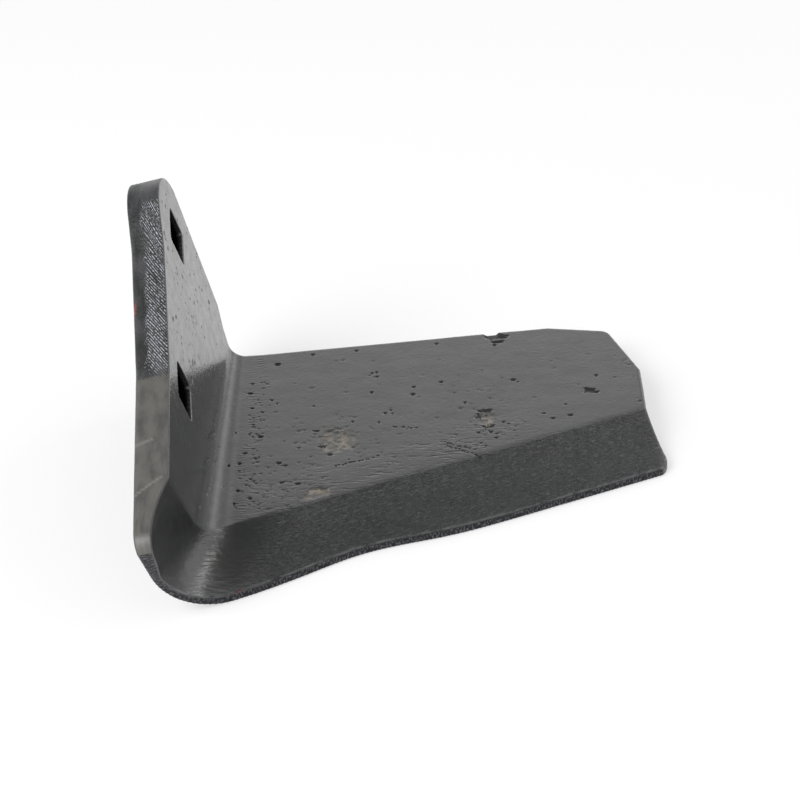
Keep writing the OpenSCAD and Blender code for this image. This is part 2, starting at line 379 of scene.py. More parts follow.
# The same in the fold, with the place across the sheet first.
fold_pits = [
    (14.8, -48.5, 1.0, 1.2, 0.45), (8.2, -50, 0.6, 0.9, 0.3), (2.5, -82, 0.7, 1.0, 0.3),
    (5.8, -71.2, 0.6, 1.1, 0.3), (6.6, -66.8, 0.6, 0.8, 0.28), (20, -63, 0.8, 1.0, 0.35),
    (19.2, -70.5, 0.7, 1.1, 0.35), (9, -40, 0.5, 0.9, 0.28), (16.2, -28, 0.5, 1.0, 0.28),
]
# The enamel rounds the rim of a pit, so each reads wider than it is and is made a little smaller.
pit_trim = 0.82
placed_pits = [(p_of_wing(x), *rest) for x, *rest in wing_pits]
placed_pits += [(p_of_flange(s), *rest) for s, *rest in flange_pits] + fold_pits
face_marks = [(p, y, pit_trim * rp, pit_trim * ry, deep) for p, y, rp, ry, deep in placed_pits]
face_flakes = [(p_of_wing(x), *rest) for x, *rest in flakes]
face_worn = [(p_of_wing(x), *rest) for x, *rest in worn_patches]
print("Placed pits:", len(face_marks), "flakes:", len(face_flakes), "worn patches:", len(face_worn))

# %% Small pits by seeded draws
# Each field is: middle and half width across, middle and half width along, how many, and their depth.
rng = np.random.default_rng(11)
pit_fields = [
    (p_of_wing(60), 56, -8, 34, 110, 0.11), (p_of_wing(46), 34, -36, 16, 90, 0.13),
    (p_of_wing(30), 9, -38, 12, 50, 0.18), (p_of_wing(80), 8, -34, 9, 40, 0.18),
    (p_of_wing(11), 3.5, -34, 40, 70, 0.2), (3, 3, -48, 30, 55, 0.22),
    (p_of_flange(40), 28, -12, 40, 170, 0.12), (p_of_flange(27), 4, -38, 16, 40, 0.15),
    (p_of_wing(20), 14, -66, 14, 90, 0.15),
]
field_spread, pit_least, pit_more, pit_wide = 0.55, 0.24, 0.32, 1.25
for mid_p, wide_p, mid_y, wide_y, many, depth in pit_fields:
    spread = rng.normal(0, field_spread, (many, 2)) * (wide_p, wide_y)
    sizes = pit_least + pit_more * rng.random((many, 2)) ** 3
    for (dp, dy), (rp, ry), share in zip(spread, sizes, rng.random(many)):
        face_marks.append((mid_p + dp, mid_y + dy, rp * pit_wide, ry, depth * (0.5 + share)))
print("Placed and drawn pits:", len(face_marks))

# %% Cracks in the scale, and a ring
# Cracks in the scale are rows of small pits: out along the wing and back along the fold, at both ends.
scale_cracks = [
    (52.2, -30, 58.7, -31.5), (35.4, -51.8, 47.4, -47.8), (66.2, -40.5, 74.7, -46.5),
    (67.7, -43.8, 77.4, -51),
]
crack_gap, crack_stray, crack_r, crack_l, crack_deep = 0.95, 0.25, 0.4, 0.32, 0.3
for x_1, y_1, x_2, y_2 in scale_cracks:
    many = int(math.hypot(x_2 - x_1, y_2 - y_1) / crack_gap)
    stray = rng.normal(0, crack_stray, (many, 2))
    for share, (dx, dy) in zip(np.linspace(0, 1, many), stray):
        x = x_1 + (x_2 - x_1) * share + dx
        y = y_1 + (y_2 - y_1) * share + dy
        face_marks.append((p_of_wing(x), y, crack_r, crack_l, crack_deep))
# A round tool has left one faint ring near the end: its place, radius, half width and depth.
ring_p, ring_y, ring_r, ring_wide, ring_deep = p_of_wing(125), 3, 2.2, 0.4, 0.07
print("Pits in all:", len(face_marks))

# %% [markdown]
# ## Points of the face
# A triangulation through free points lets the mesh be fine where the marks are and even elsewhere.
# Rows of points follow the rim first, close to it, because the enamel rounds every edge. Then comes
# an even lattice, with closer ones laid over the hammered nose and over each larger mark.

# %% Distance to the nearest edge
plain_round, torch_round, blunt_round, hole_edge_round = 0.85, 0.5, 0.5, 0.5
hole_fine = 8
edge_tree = kdtree.KDTree(len(fine_line) + hole_fine * sum(len(h) for h in holes))
edge_round = []


def add_edge(points, radii):
    for (a, b), r in zip(points, radii):
        edge_tree.insert((a, b, 0), len(edge_round))
        edge_round.append(r)


def rounding_of(line):
    plain = np.where(is_torch_cut(*line.T), torch_round, plain_round)
    return np.where(is_blunt(*line.T), blunt_round, plain)


add_edge(fine_line, rounding_of(fine_line))
for ring in holes:
    close, _ = walk(ring, np.linspace(0, 4 * bolt_sq, hole_fine * len(ring), endpoint=False))
    add_edge(close, np.full(len(close), hole_edge_round))
edge_tree.balance()


def edge_distance(points):
    """Distance to the nearest edge of each point, and the rounding of that edge."""
    found = [edge_tree.find((a, b, 0)) for a, b in points]
    return np.array([f[2] for f in found]), np.array([edge_round[f[1]] for f in found])


print("Edge samples:", len(edge_round))

# %% Inside the outline and outside the holes
def inside(points, line):
    """Even-odd test of many points against a closed line."""
    result = np.zeros(len(points), bool)
    ends = np.roll(line, -1, 0)
    for (ax, ay), (bx, by) in zip(line, ends):
        if ay != by:
            cross = (points[:, 1] < ay) != (points[:, 1] < by)
            at = ax + (points[:, 1] - ay) * (bx - ax) / (by - ay)
            result ^= cross & (points[:, 0] < at)
    return result


def on_plate(points):
    good = inside(points, rim)
    for ring in holes:
        good &= ~inside(points, ring)
    return good


jitter = 0.06


def lattice(low_p, high_p, low_y, high_y, step):
    """Points of a triangular lattice, each moved a little so that no rows show."""
    rows = np.arange(low_y, high_y, step * math.sqrt(3) / 2)
    columns = np.arange(low_p, high_p, step)
    grid = [(c + (i % 2) * step / 2, r) for i, r in enumerate(rows) for c in columns]
    return np.array(grid) + rng.uniform(-jitter, jitter, (len(grid), 2)) * step


low_p, low_y = fine_line.min(0)
high_p, high_y = fine_line.max(0)
print("Sheet spans", np.round([low_p, high_p, low_y, high_y], 1))

# %% Pits of the hidden faces
# These are the same rolled plate, so seeded draws scatter a few pits over them too, clear of the edges.
under_rng = np.random.default_rng(23)
under_many, under_clear, under_least, under_more = 150, 2.5, 0.4, 0.9
under_long, under_deep = 0.8, 0.3
under_spots = under_rng.uniform((low_p, low_y), (high_p, high_y), (under_many, 2))
under_sizes = under_least + under_more * under_rng.random(under_many) ** 2
under_good = on_plate(under_spots) & (edge_distance(under_spots)[0] > under_clear)
under_marks = [(p, y, r, under_long * r, under_deep * r)
               for (p, y), r in zip(under_spots[under_good], under_sizes[under_good])]
print("Pits of the hidden faces:", len(under_marks))

# %% Points of the upper face
face_step, nose_step, mark_step = 0.72, 0.42, 0.36
ring_shares = (0.13, 0.45, 1.0, 1.7)
nose_p, nose_reach, nose_behind = fold_l / 2, 17, 8
wrinkle_p, wrinkle_reach = p_of_wing(10), 5
deep_mark, mark_reach, row_gap = 0.25, 0.5, 0.3


def in_fine(points):
    """On the hammered nose, or on the wrinkled skin beside the fold."""
    p, y = points.T
    nose = (np.abs(p - nose_p) < nose_reach) & (y < straight_edge(p) + bevel_l + nose_behind)
    return nose | (np.abs(p - wrinkle_p) < wrinkle_reach)


def near_marks(points, marks):
    """On a mark, or within reach of its rim."""
    near = np.zeros(len(points), bool)
    for p, y, rp, ry, *_ in marks:
        away_p = (points[:, 0] - p) / (rp + mark_reach)
        away_y = (points[:, 1] - y) / (ry + mark_reach)
        near |= away_p ** 2 + away_y ** 2 < 1
    return near


fine_marks = [m for m in face_marks if m[4] >= deep_mark] + face_flakes
fine_marks.append((ring_p, ring_y, ring_r, ring_r))
even = lattice(low_p, high_p, low_y, high_y, face_step)
even = even[~in_fine(even) & ~near_marks(even, fine_marks)]
nose = lattice(nose_p - nose_reach, wrinkle_p + nose_reach, low_y, high_y, nose_step)
nose = nose[in_fine(nose) & ~near_marks(nose, fine_marks)]
close = lattice(low_p, high_p, low_y, high_y, mark_step)
close = close[near_marks(close, fine_marks)]
field = np.vstack([even, nose, close])
field = field[on_plate(field)]
gap, radius = edge_distance(field)
field = field[gap > radius * ring_shares[-1] + row_gap]
print("Points inside the face:", len(field))

# %% Rows of points along the edges
row_share, row_slack, torch_every = 0.97, 0.01, 2


def inset_rows(line, outward, radii):
    """Rows of points beside an edge, without those that come nearer to another edge."""
    rows = []
    for share in ring_shares:
        stepped = line - outward * (radii * share)[:, None]
        keep = on_plate(stepped)
        gap, _ = edge_distance(stepped)
        rows.append(stepped[keep & (gap > radii * share * row_share - row_slack)])
    return np.vstack(rows)


def turned_outward(ring, centre):
    """Directions from the plate into a hole."""
    normal = side_of(ring)
    toward = on_flange(centre, 0) - ring
    return normal * np.sign((normal * toward).sum(1))[:, None]


coarse = np.arange(rim_count)
coarse = coarse[~rim_torch | (coarse % torch_every == 0)]
rim_radii = rounding_of(rim)
rows = [inset_rows(rim[coarse], rim_out[coarse], rim_radii[coarse])]
hole_out = [turned_outward(ring, c) for ring, c in zip(holes, hole_centres)]
for ring, out in zip(holes, hole_out):
    rows.append(inset_rows(ring, out, np.full(len(ring), hole_edge_round)))
edge_rows = np.vstack(rows)
print("Points along the edges:", len(edge_rows))

# %% [markdown]
# ## Triangles
# Blender's constrained Delaunay triangulation joins the points. The rim and the two holes go in as
# fixed edges, and the triangles that fall in a hole or outside the outline are dropped.

# %% Triangulate a sheet
join_gap = 1e-7


def triangulate(free_points):
    """Points and triangles of a sheet: the rim first, then the holes, then the free points."""
    points = np.vstack([rim, *holes, free_points])
    fixed = []
    start = 0
    for ring in (rim, *holes):
        n = len(ring)
        fixed += [(start + i, start + (i + 1) % n) for i in range(n)]
        start += n
    out, _, faces, origin, _, _ = geometry.delaunay_2d_cdt(
        [Vector(q) for q in points], fixed, [], 1, join_gap, True)
    first = [o[0] if o else -1 for o in origin]
    faces = np.array([[first[i] for i in f] for f in faces])
    middle = points[faces].mean(1)
    return points, faces[on_plate(middle)]


top_points, top_faces = triangulate(np.vstack([edge_rows, field]))
print("Triangles of the upper face:", len(top_faces))

# %% Triangulate the underside
under_step, under_mark_step, under_round, under_row_gap = 1.5, 0.42, 0.6, 1.8
under_every = 3
under = lattice(low_p, high_p, low_y, high_y, under_step)
under_close = lattice(low_p, high_p, low_y, high_y, under_mark_step)
under = np.vstack([under[~near_marks(under, under_marks)],
                   under_close[near_marks(under_close, under_marks)]])
under = under[on_plate(under)]
gap, _ = edge_distance(under)
under_keep = ~rim_torch & ~rim_blunt | (np.arange(rim_count) % under_every == 0)
under_lines = [(rim[under_keep], rim_out[under_keep]), *zip(holes, hole_out)]
under_rows = [inset_rows(line, out, np.full(len(line), under_round)) for line, out in under_lines]
under_points, under_faces = triangulate(np.vstack([*under_rows, under[gap > under_row_gap]]))
print("Triangles of the underside:", len(under_faces))

# %% [markdown]
# ## Relief of the face
# The face is never quite flat: the plate waves a little, the scale leaves a fine grain, the fold has
# wrinkled the skin beside it, and hammer blows have left ridges across the nose. Every one of these
# is a small change of height on the sheet, so they are simply added up.

# %% Helpers for the relief
def grain(p, y, size_p, size_y, seed):
    """Smooth noise between -1 and 1, with grains of the given size."""
    return np.array([noise.noise((a / size_p, b / size_y, seed)) for a, b in zip(p, y)])


def eased(low, high, value):
    t = np.clip((value - low) / (high - low), 0, 1)
    return t * t * (3 - 2 * t)


def bell(value, middle, width):
    return np.exp(-((value - middle) / width) ** 2)


mark_span, mark_rim = 1.5, 1.05
ragged_p, ragged_y = 0.9, 1.1


def mark_field(p, y, marks, ragged=0.0, wall=0.5, seed=0):
    """Depth that the marks take off at each point, and how far each point is inside a mark."""
    depth, share = np.zeros(len(p)), np.zeros(len(p))
    for mid_p, mid_y, rp, ry, deep in marks:
        in_span = (np.abs(p - mid_p) < mark_span * rp) & (np.abs(y - mid_y) < mark_span * ry)
        near = np.flatnonzero(in_span)
        if len(near) == 0:
            continue
        away = np.hypot((p[near] - mid_p) / rp, (y[near] - mid_y) / ry)
        if ragged:
            away += ragged * grain(p[near], y[near], ragged_p, ragged_y, seed + mid_p)
        inner = 1 - eased(1 - wall, mark_rim, away)
        depth[near] = np.maximum(depth[near], deep * inner)
        share[near] = np.maximum(share[near], inner)
    return depth, share


trial_depth, _ = mark_field(np.zeros(1), np.zeros(1), [(0, 0, 1, 1, 0.4)])
print("In its middle a pit 0.4 mm deep takes off", trial_depth[0])

# %% Height of the upper face
wave_h, ripple_h, grain_h = 0.10, 0.035, 0.014
wrinkle_h, wrinkle_gap, wrinkle_at, wrinkle_wide = 0.05, 1.5, wrinkle_p - 0.8, 2.8
wrinkle_start, wrinkle_full = -86, -76
ridge_h, ridge_gap, ridge_rise, ridge_at, ridge_wide = 0.035, 2.0, 2, fold_l * 0.66, 6.5
groove_h, worn_floor_h = 0.05, 0.10


def plate_waves(p, y):
    """The waves and the grain of the rolled plate."""
    broad = wave_h * grain(p, y, 27, 27, 1)
    return broad + ripple_h * grain(p, y, 8, 6, 2) + grain_h * grain(p, y, 2.1, 1.7, 3)


def fold_wrinkles(p, y):
    """Fine ridges across, where the skin bunched up beside the fold."""
    where = bell(p, wrinkle_at, wrinkle_wide) * eased(wrinkle_start, wrinkle_full, y)
    patchy = np.clip(0.45 + 1.2 * grain(p, y, 3, 6, 4), 0, 1)
    wave = np.sin(math.tau * (y / wrinkle_gap + 0.7 * grain(p, y, 4, 5, 5)))
    return wrinkle_h * where * patchy * wave


def ridge_place(p, y):
    """Where the hammer left ridges: across the bevel where it goes round the fold."""
    return bell(p, ridge_at, ridge_wide) * eased(-0.15, 0.05, bevel_share(p, y))


def ridge_level(p, y):
    """A measure that stays the same along each of these ridges."""
    return y + ridge_rise * folded(p, y, np.full(len(p), plate_t))[:, 2] / MM


def nose_ridges(p, y):
    """The larger ridges of the hammer, in patches."""
    patchy = np.clip(0.5 + 1.2 * grain(p, y, 4, 2.5, 6), 0, 1)
    wave = np.sin(math.tau * (ridge_level(p, y) / ridge_gap + 0.6 * grain(p, y, 4, 4, 7)))
    return ridge_h * ridge_place(p, y) * patchy * wave


def bevel_grooves(p, y):
    """Shallow grooves along the bevel, and the chatter of the drawing-out between them."""
    where = eased(-0.02, 0.08, bevel_share(p, y))
    across = y - straight_edge(p)
    return where * groove_h * (grain(p, across, 16, 1.7, 8) + 0.7 * grain(p, across, 2.2, 1.6, 9))


def face_height(p, y, gap, radius):
    """Height of the face, how far each point is inside a pit or a flake, and in a worn patch."""
    pits, pit_share = mark_field(p, y, face_marks)
    holes_left, flake_share = mark_field(p, y, face_flakes, ragged=0.45, wall=0.3, seed=20)
    worn, worn_share = mark_field(p, y, face_worn, ragged=0.55, wall=0.35, seed=40)
    rough_floor = worn_floor_h * worn_share * grain(p, y, 1.5, 1.4, 10)
    ring = ring_deep * bell(np.hypot(p - ring_p, y - ring_y), ring_r, ring_wide)
    rounding = np.clip(radius - gap, 0, None)
    drop = radius - np.sqrt(radius ** 2 - rounding ** 2)
    relief = plate_waves(p, y) + fold_wrinkles(p, y) + nose_ridges(p, y) + bevel_grooves(p, y)
    height = plate_t - bevel_depth(p, y, toe_p) + relief - worn + rough_floor - ring - drop
    return height - np.maximum(pits, holes_left), np.maximum(pit_share, flake_share), worn_share


top_p, top_y = top_points.T
top_gap, top_radius = edge_distance(top_points)
top_h, top_pit, top_worn = face_height(top_p, top_y, top_gap, top_radius)
print("Heights of the upper face:", round(top_h.min(), 2), "to", round(top_h.max(), 2))

# %% Height of the underside
under_wave_h, under_clear_h = 0.03, 0.06
under_p, under_y = under_points.T
under_gap, _ = edge_distance(under_points)
under_lift = under_round - np.sqrt(under_round ** 2 - np.clip(under_round - under_gap, 0, None) ** 2)
under_waves = grain(under_p, under_y, 18, 14, 11) + grain(under_p, under_y, 6, 5, 12)
under_pits, under_pit = mark_field(under_p, under_y, under_marks)
under_h = under_lift + under_clear_h + under_wave_h * under_waves + under_pits
print("Heights of the underside:", round(under_h.min(), 3), "to", round(under_h.max(), 3))

# %% [markdown]
# ## Cut edges
# The torch left slanted drag lines on the front edge of the flange, deepest towards its inner face.
# Lower down that edge is smooth and has lost its paint to a brown-grey film. The other edges wander a
# little, as hand-guided cuts do, and the cutting edge has short strokes of the grinder. The walls are
# rows of points between the two rims. On the torch cut each row is pushed along the edge, so that the
# columns of the wall lie along the drag lines and a few rows are enough to hold them.

# %% Drag lines of the torch
drag_h, drag_gap, drag_lean, top_lean = 0.10, 1.32, 1.6, 2.5
drag_start, drag_end = -2, -66
lean_in, lean_out, lean_low, lean_high = 28, 45, -40, -8
slide_back = 1.5
rim_along, _ = bolt_frame(*rim.T)
torch_run = rim_run - rim_run[rim_torch].min()
stop_run = torch_run[rim_torch & (rim_along < drag_end)].min()
rim_lean = drag_lean + (top_lean - drag_lean) * eased(lean_low, lean_high, rim_along)
rim_lean *= rim_torch * eased(0, lean_in, torch_run) * (1 - eased(0, lean_out, torch_run - stop_run))


def rim_slide(share):
    """How far a row is pushed along the rim, so that the columns lie along the drag lines."""
    return -rim_lean * plate_t * min(1 - share, slide_back * share)


def along_of(share):
    """How far along the bolt line each point of a row lies."""
    return np.interp(rim_run + rim_slide(share), rim_run, rim_along)


def wall_noise(share, size, size_h, seed):
    """Smooth noise on the wall, in its own columns."""
    return grain(rim_run, np.full(rim_count, share * plate_t), size, size_h, seed)


def drag_strength(share):
    """Where the drag lines show: on the upper length, towards the inner face, and in patches."""
    along = along_of(share)
    length = eased(drag_end - 6, drag_end + 6, along) * (1 - eased(drag_start, drag_start + 5, along))
    across = eased(0.1, 0.45, share + 0.2 * wall_noise(share, 5, 9, 30))
    patchy = np.clip(1.05 + 0.7 * wall_noise(share, 3, 3, 31), 0, 1)
    return rim_torch * length * across * patchy


def drag_wave(share):
    """The lines themselves, which waver more the higher they are."""
    waver = 0.35 + 0.75 * eased(-45, -10, rim_along)
    return np.sin(math.tau * (rim_run / drag_gap + waver * wall_noise(share, 5, 4, 32)))


print("Drag lines slide by up to", round(-rim_slide(0.4).min(), 1), "mm along the edge")

# %% How far each row of the wall stands out
blunt_h, sway_h, sway_fine_h = 0.045, 0.10, 0.04


def line_noise(run, size, seed):
    """Smooth noise between -1 and 1 along the rim."""
    return np.array([noise.noise((r / size, seed, 5)) for r in run])


def rim_push(share, run):
    """How far the wall stands out at a share of its height, at places along the rim."""
    sway = sway_h * line_noise(run, 17, 3) + sway_fine_h * line_noise(run, 4.3, 8)
    strokes = blunt_h * line_noise(run, 0.9, 12) * share * (1 - share) * 4
    drag = drag_h * drag_strength(share) * drag_wave(share)
    return np.where(rim_blunt, strokes, sway) + drag


print("Grinder strokes are", blunt_h, "mm deep at most")

# %% Rows of the walls
wall_shares = (0.14, 0.28, 0.4, 0.5, 0.6, 0.7, 0.8, 0.9)
hole_shares = (0.2, 0.4, 0.6, 0.8)
sheets = [(top_p, top_y, top_h), (under_p, under_y, under_h)]
under_start = len(top_p)
rim_slice = slice(0, rim_count)


def rim_row(share):
    """One row of the rim's wall, at a share of the way from the underside to the face."""
    run = rim_run + rim_slide(share)
    place, _ = walk(fine_line, run)
    out = np.stack([np.interp(run, rim_run, rim_out[:, i]) for i in (0, 1)], 1)
    push = rim_push(share, run)[:, None]
    h = under_h[rim_slice] * (1 - share) + top_h[rim_slice] * share
    return (*(place + out * push).T, h)


def hole_row(first, ring, share):
    around = slice(first, first + len(ring))
    return (*ring.T, under_h[around] * (1 - share) + top_h[around] * share)


def add_rows(first, rows):
    """Rows of a wall, from the underside up: the points' numbers of each."""
    count = len(rows[0][0])
    grid = [np.arange(count) + under_start + first]
    for row in rows:
        start = sum(len(s[0]) for s in sheets)
        grid.append(np.arange(count) + start)
        sheets.append(row)
    return grid + [np.arange(count) + first]


rim_grid = add_rows(0, [rim_row(s) for s in wall_shares])
hole_firsts = (rim_count, rim_count + len(holes[0]))
hole_grids = [add_rows(first, [hole_row(first, ring, s) for s in hole_shares])
              for first, ring in zip(hole_firsts, holes)]
print("Rows of the rim's wall:", len(rim_grid), "and of a hole's:", len(hole_grids[0]))

# %% Join the sheets and the walls
def wall_faces(grid, inward):
    """Triangles between the rows of a wall."""
    made = []
    for below, above in zip(grid, grid[1:]):
        quad = np.stack([below, np.roll(below, -1), np.roll(above, -1), above], 1)
        quad = quad[:, ::-1] if inward else quad
        made += [quad[:, [0, 1, 2]], quad[:, [0, 2, 3]]]
    return np.vstack(made)


sheet_p, sheet_y, sheet_h = (np.concatenate([s[i] for s in sheets]) for i in range(3))
for share, grid in ((0, rim_grid[0]), (1, rim_grid[-1])):
    push = rim_push(share, rim_run)
    sheet_p[grid] += rim_out[:, 0] * push
    sheet_y[grid] += rim_out[:, 1] * push
faces = [top_faces, under_faces[:, ::-1] + under_start, wall_faces(rim_grid, False)]
faces += [wall_faces(grid, True) for grid in hole_grids]
triangles = np.vstack(faces)
print("Points:", len(sheet_p), "triangles:", len(triangles))

# %% [markdown]
# ## What each point is
# One finish covers the whole part, but it differs from place to place: bare and brown where it is
# worn, streaked on the torch cut, dull in the pits. Each point of the mesh therefore carries a few
# numbers that the finish reads, and its place on the flat sheet, so that the grain follows the plate.

# %% Numbers on the two sheets
trait_names = (
    "pit", "worn", "bevel", "scaly", "lip", "ridge", "level", "red",
    "cut", "blunt", "bore", "drag", "film", "scratch", "run", "across",
)
traits = {name: np.zeros(len(sheet_p)) for name in trait_names}
on_top = slice(0, len(top_p))
traits["pit"][on_top] = top_pit
traits["pit"][under_start:under_start + len(under_p)] = under_pit
traits["worn"][on_top] = top_worn
# The grain of the bevel is faint round the nose and grows out along the wing.
calm_least = 0.12
nose_calm = calm_least + (1 - calm_least) * eased(p_of_wing(8), p_of_wing(26), top_p)
traits["bevel"][on_top] = eased(-0.02, 0.06, bevel_share(top_p, top_y)) * nose_calm
# Scaly skin lies along the wing just behind the bevel.
scaly_wide = 10
scaly = bell(top_y - straight_edge(top_p) - bevel_l, scaly_wide, scaly_wide)
scaly *= eased(p_of_wing(6), p_of_wing(16), top_p) * (1 - eased(p_of_wing(75), p_of_wing(105), top_p))
traits["scaly"][on_top] = scaly
# The lip is a narrow band along the cutting edge, which carries a painted highlight.
lip_at, lip_wide = 0.45, 0.45
traits["lip"][on_top] = bell(top_y - cutting_edge(top_p), lip_at, lip_wide)
traits["ridge"][on_top] = ridge_place(top_p, top_y)
traits["level"][on_top] = ridge_level(top_p, top_y)
traits["run"][on_top] = top_p
traits["across"][on_top] = top_y - straight_edge(top_p)
# A speck of red primer shows on the lip of the nose.
speck_p, speck_y, speck_r, speck_share = 23, -106, 0.8, 0.75
speck_away = np.hypot(top_p - speck_p, top_y - speck_y)
traits["red"][on_top] = speck_share * bell(speck_away, 0, speck_r)
print("Points in pits:", (traits["pit"] > 0.5).sum(), "and in worn patches:", (top_worn > 0.5).sum())

# %% Numbers on the walls
film_along, film_ease = drag_end + 1, 3
# Two pale scratches cross the film: their places down the edge at both ends, and how far across.
film_scratches = [(-90.8, -89.4, 5.6), (-109.4, -104.5, 8.2)]
scratch_wide = 0.42
# Red primer shows once more on the outer edge of the torch cut: its middle and half its reach.
red_along, red_up, red_long, red_high = -39.5, 0.3, 3.4, 0.7
for share, grid in zip((0, *wall_shares, 1), rim_grid):
    up = share * plate_t
    traits["cut"][grid] = ~rim_blunt
    traits["blunt"][grid] = rim_blunt
    traits["drag"][grid] = drag_strength(share) * np.clip(0.5 + 0.5 * drag_wave(share), 0, 1)
    along_here = along_of(share)
    past_film = eased(film_along - film_ease, film_along + film_ease, along_here)
    traits["film"][grid] = rim_torch * (1 - past_film)
    for start, end, reach in film_scratches:
        line = start + (end - start) * up / reach
        here = rim_torch * bell(along_here, line, scratch_wide) * (up <= reach)
        traits["scratch"][grid] = np.maximum(traits["scratch"][grid], here)
    spot = bell(along_here, red_along, red_long) * bell(up, red_up, red_high)
    traits["red"][grid] = np.maximum(traits["red"][grid], rim_torch * spot)
    traits["run"][grid] = rim_run + rim_slide(share)
    traits["across"][grid] = up
for grids in hole_grids:
    for grid in grids[1:-1]:
        traits["bore"][grid] = 1
print({name: round(float(values.mean()), 4) for name, values in traits.items()})

# %% Make the mesh
skin_data = bpy.data.meshes.new("share_skin")
skin_data.from_pydata(folded(sheet_p, sheet_y, sheet_h).tolist(), [], triangles.tolist())
skin_data.polygons.foreach_set("use_smooth", np.ones(len(triangles), bool))
for name, values in traits.items():
    skin_data.attributes.new(name, "FLOAT", "POINT").data.foreach_set("value", values.astype(np.float32))
flat_place = np.stack([sheet_p, sheet_y, sheet_h], 1).astype(np.float32)
skin_data.attributes.new("sheet", "FLOAT_VECTOR", "POINT").data.foreach_set("vector", flat_place.ravel())
skin_data.validate()
skin_data.update()
skin = bpy.data.objects.new("share_skin", skin_data)
bpy.context.scene.collection.objects.link(skin)
print("Skin:", len(skin_data.vertices), "points", len(skin_data.polygons), "triangles")

# %% Measure the skin on the solid
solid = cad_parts["wing_share"].data
solid_faces = [tuple(f.vertices) for f in solid.polygons]
solid_tree = BVHTree.FromPolygons([v.co for v in solid.vertices], solid_faces)
sample = list(skin_data.vertices)[::7]
off = np.array([solid_tree.find_nearest(v.co)[3] for v in sample]) / MM
print("Skin off the solid:", round(off.mean(), 3), "mm on average,", round(off.max(), 2), "at most")

# %% [markdown]
# ## Black enamel
# The finish is one thick coat of black enamel, half glossy, over hot-rolled scale. It could be a flat
# black, but its look comes from how unevenly it reflects: so its gloss and its fine bumps vary. Other
# colours show where the coat is thin or gone: on the worn spots, the film low on the torch cut,
# the crests of its drag lines, the ground cutting edge and two specks of red primer. A pale line along
# the lip of the cutting edge is a painted highlight, and the pits and bolt holes are painted near black
# as painted shade.

# %% Node helpers
enamel = bpy.data.materials.new("black_enamel")
enamel.use_nodes = True
tree = enamel.node_tree
shader = tree.nodes["Principled BSDF"]


def add(kind, settings=None, **inputs):
    """A node in the tree at hand, with its inputs, by name or as i0, i1 and so on, set or linked."""
    made = tree.nodes.new(kind)
    for name, value in (settings or {}).items():
        setattr(made, name, value)
    for name, value in inputs.items():
        by_number = name[0] == "i" and name[1:].isdigit()
        socket = made.inputs[int(name[1:]) if by_number else name]
        if isinstance(value, bpy.types.NodeSocket):
            tree.links.new(value, socket)
        else:
            socket.default_value = value
    return made


def trait(name):
    return add("ShaderNodeAttribute", {"attribute_name": name}).outputs["Fac"]


def math_of(operation, a, b=0.5, c=0.5):
    return add("ShaderNodeMath", {"operation": operation}, i0=a, i1=b, i2=c).outputs[0]


def ramp(value, low, high, to_low=0.0, to_high=1.0):
    """A smooth step from one level to another while the value goes from low to high."""
    made = add("ShaderNodeMapRange", {"interpolation_type": "SMOOTHSTEP"}, i0=value, i1=low, i2=high)
    made.inputs[3].default_value = to_low
    made.inputs[4].default_value = to_high
    return made.outputs[0]


def blend(share, first, second):
    """A mix of two colours: the first where the share is 0, the second where it is 1."""
    made = add("ShaderNodeMix", {"data_type": "RGBA"}, i0=share)
    for socket, value in ((made.inputs[6], first), (made.inputs[7], second)):
        if isinstance(value, bpy.types.NodeSocket):
            tree.links.new(value, socket)
        else:
            socket.default_value = (*value, 1)
    return made.outputs[2]


def product(first, *rest):
    for other in rest:
        first = math_of("MULTIPLY", first, other)
    return first


def total(first, *rest):
    for other in rest:
        first = math_of("ADD", first, other)
    return first


print("Node helpers ready for", enamel.name)

# %% Noise for the finish
sheet_place = add("ShaderNodeAttribute", {"attribute_name": "sheet"}).outputs["Vector"]


def speckle(size, detail=3.0, rough=0.55, stretch=(1, 1, 1)):
    """Noise between 0 and 1 over the sheet, with grains of the given size in millimetres."""
    scaled = add("ShaderNodeMapping", i0=sheet_place, i3=tuple(s / size for s in stretch)).outputs[0]
    made = add("ShaderNodeTexNoise", i0=scaled)
    made.inputs["Scale"].default_value = 1
    made.inputs["Detail"].default_value = detail
    made.inputs["Roughness"].default_value = rough
    return made.outputs["Fac"]


def edge_speckle(size_run, size_across, detail=2.0, measure="across"):
    """Noise between 0 and 1, with grains of the given size along an edge and across it."""
    along = math_of("DIVIDE", trait("run"), size_run)
    across = math_of("DIVIDE", trait(measure), size_across)
    place = add("ShaderNodeCombineXYZ", i0=along, i1=across).outputs[0]
    made = add("ShaderNodeTexNoise", i0=place)
    made.inputs["Scale"].default_value = 1
    made.inputs["Detail"].default_value = detail
    return made.outputs["Fac"]


print("Noise reads the attribute sheet, in millimetres")

# %% Colour of the enamel
black, thin_black = (0.0075, 0.0092, 0.0078), (0.0145, 0.0168, 0.015)
bevel_grey, pit_shade_black = (0.045, 0.046, 0.048), (0.005, 0.005, 0.005)
colour = blend(ramp(speckle(11), 0.35, 0.7), black, thin_black)
bevel_specks = product(trait("bevel"), ramp(edge_speckle(2.6, 0.42, 3), 0.52, 0.68))
colour = blend(bevel_specks, colour, bevel_grey)

bare_light, bare_dark = (0.23, 0.195, 0.155), (0.085, 0.072, 0.058)
bare = blend(ramp(speckle(2.4, 4), 0.36, 0.64), bare_dark, bare_light)
worn_share = product(trait("worn"), ramp(speckle(2.2, 4), 0.4, 0.58))
colour = blend(worn_share, colour, bare)
print("Paint and bare spots set on", enamel.name)

